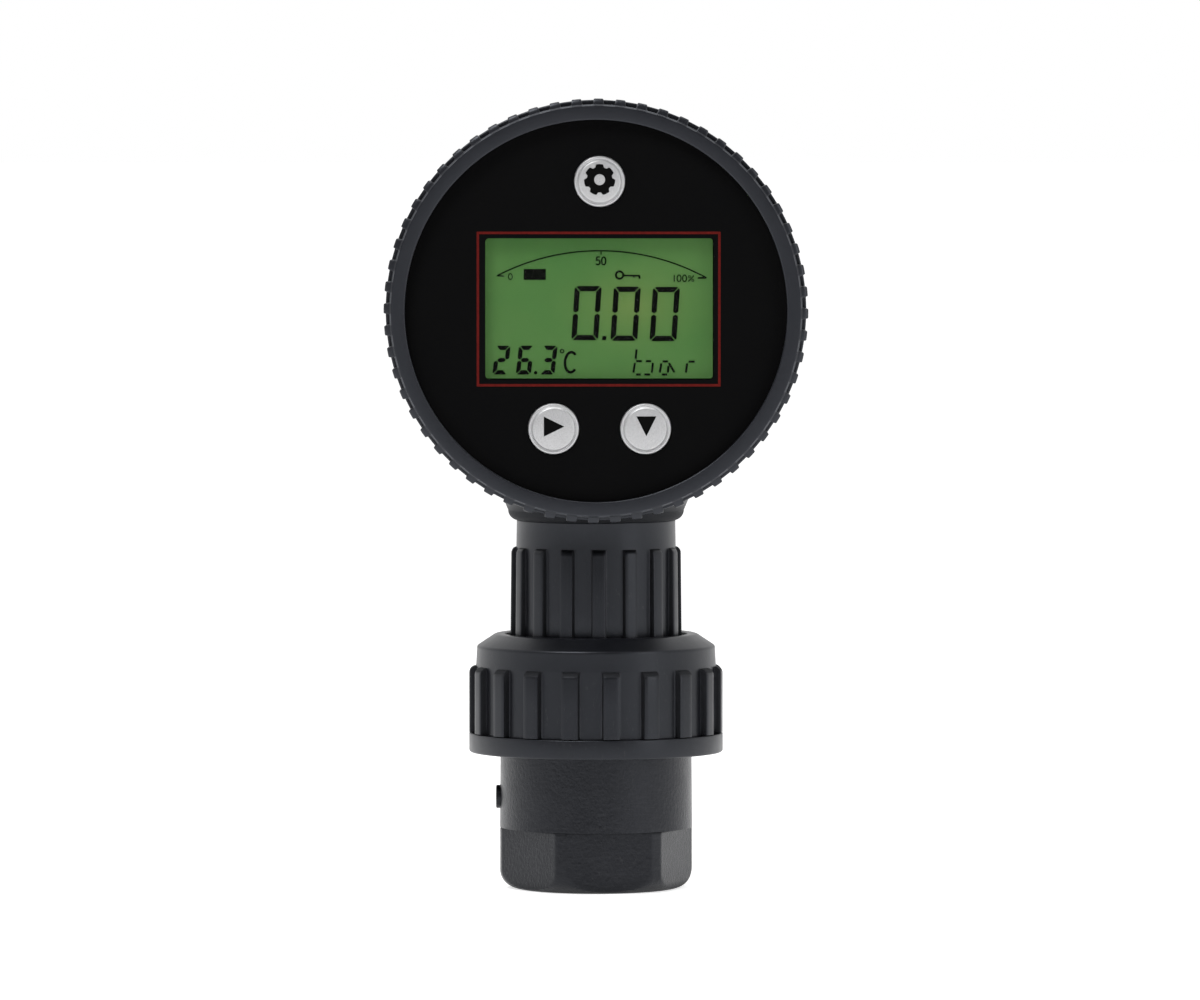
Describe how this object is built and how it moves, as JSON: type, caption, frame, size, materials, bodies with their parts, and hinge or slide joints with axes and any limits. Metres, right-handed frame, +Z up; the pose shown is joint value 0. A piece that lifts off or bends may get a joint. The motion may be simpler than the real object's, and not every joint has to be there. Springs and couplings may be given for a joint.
{
  "type": "pressure transmitter",
  "caption": "Round display head in a knurled screw ring, on a plastic true union with a ribbed nut and a threaded hexagon socket end.",
  "frame": {"origin": "centre of the hexagon end's flat bottom, on the union's axis at the mouth of the threaded socket", "axes": "+Z up the union's axis, the display looks along -Y, +X to the right as the display is read"},
  "size_m": [0.0872, 0.07, 0.1646],
  "materials": {
    "pvc": "satin moulded PVC",
    "bezel_plastic": "fine matt moulded",
    "housing_plastic": "fine matt moulded",
    "panel_black": "smooth black",
    "window_clear": "clear",
    "lcd_glass": "green liquid crystal",
    "backlight": "green diffuser",
    "frame_metal": "formed sheet",
    "button_silver": "silver painted",
    "switch_plastic": "moulded",
    "circuit_board": "solder mask",
    "connector_plastic": "moulded",
    "terminal_plastic": "moulded",
    "screw_steel": "zinc plated",
    "brass": "machined",
    "ceramic": "fired alumina",
    "lead_sleeve": "sleeved leads",
    "rubber": "moulded",
    "slip_film": "smooth film",
    "gland_plastic": "moulded polyamide"
  },
  "bodies": {
    "union_base": {"union_body": "pvc", "union_o_ring": "rubber"},
    "transmitter": {"union_end": "pvc", "neck_o_ring": "rubber", "sensor_o_ring": "rubber", "face_gasket": "rubber", "gland_gasket": "rubber", "sensor_retainer": "brass", "stem": "brass", "stem_locknut": "brass", "gland_locknut": "gland_plastic", "sensor_cell": "ceramic", "sensor_lead": "lead_sleeve", "housing_shell": "housing_plastic", "face_panel": "panel_black", "display_window": "window_clear", "lcd_glass": "lcd_glass", "lcd_backlight": "backlight", "lcd_frame": "frame_metal", "switch_set": "switch_plastic", "switch_right": "switch_plastic", "switch_down": "switch_plastic", "display_board": "circuit_board", "main_board": "circuit_board", "board_pillars": "brass", "board_screws": "screw_steel", "board_link": "connector_plastic", "terminal_block": "terminal_plastic", "sensor_header": "connector_plastic", "gland_body": "gland_plastic"},
    "thrust_ring": {"union_thrust_ring": "slip_film"},
    "nut": {"union_nut": "pvc"},
    "slip_ring": {"bezel_slip_ring": "slip_film"},
    "bezel": {"bezel_ring": "bezel_plastic"},
    "set_key": {"button_set": "button_silver", "plunger_set": "switch_plastic"},
    "right_key": {"button_right": "button_silver", "plunger_right": "switch_plastic"},
    "down_key": {"button_down": "button_silver", "plunger_down": "switch_plastic"},
    "clamp_seal": {"gland_seal": "rubber"},
    "clamp_nut": {"gland_nut": "gland_plastic"}
  },
  "joints": [
    {"name": "head_turn", "type": "hinge", "parent": "union_base", "child": "transmitter", "pos_m": [0, 0, 0.0415], "axis": [0, 0, 1], "range_deg": [-180, 180]},
    {"name": "union_travel", "type": "slide", "parent": "union_base", "child": "thrust_ring", "axis": [0, 0, 1], "range_m": [0, 0.00924]},
    {"name": "union_turn", "type": "hinge", "parent": "thrust_ring", "child": "nut", "pos_m": [0, 0, 0.04], "axis": [0, 0, 1], "range_deg": [0, 1440]},
    {"name": "bezel_travel", "type": "slide", "parent": "transmitter", "child": "slip_ring", "axis": [0, -1, 0], "range_m": [0, 0.0045]},
    {"name": "bezel_turn", "type": "hinge", "parent": "slip_ring", "child": "bezel", "pos_m": [0, -0.025, 0.121], "axis": [0, -1, 0], "range_deg": [0, 1080]},
    {"name": "gland_travel", "type": "slide", "parent": "transmitter", "child": "clamp_seal", "axis": [0, 1, 0], "range_m": [0, 0.0045]},
    {"name": "gland_turn", "type": "hinge", "parent": "clamp_seal", "child": "clamp_nut", "pos_m": [0, 0.03, 0.101], "axis": [0, 1, 0], "range_deg": [0, 1080]},
    {"name": "set_press", "type": "slide", "parent": "transmitter", "child": "set_key", "axis": [0, 1, 0], "range_m": [0, 0.0006], "stiffness_N_per_m": 2500, "springref_m": -0.0002},
    {"name": "right_press", "type": "slide", "parent": "transmitter", "child": "right_key", "axis": [0, 1, 0], "range_m": [0, 0.0006], "stiffness_N_per_m": 2500, "springref_m": -0.0002},
    {"name": "down_press", "type": "slide", "parent": "transmitter", "child": "down_key", "axis": [0, 1, 0], "range_m": [0, 0.0006], "stiffness_N_per_m": 2500, "springref_m": -0.0002}
  ],
  "couplings": [
    {"joint": "union_travel", "follows": "union_turn", "m_per_rad": 0.00036749},
    {"joint": "bezel_travel", "follows": "bezel_turn", "m_per_rad": 0.00023873},
    {"joint": "gland_travel", "follows": "gland_turn", "m_per_rad": 0.00023873}
  ]
}
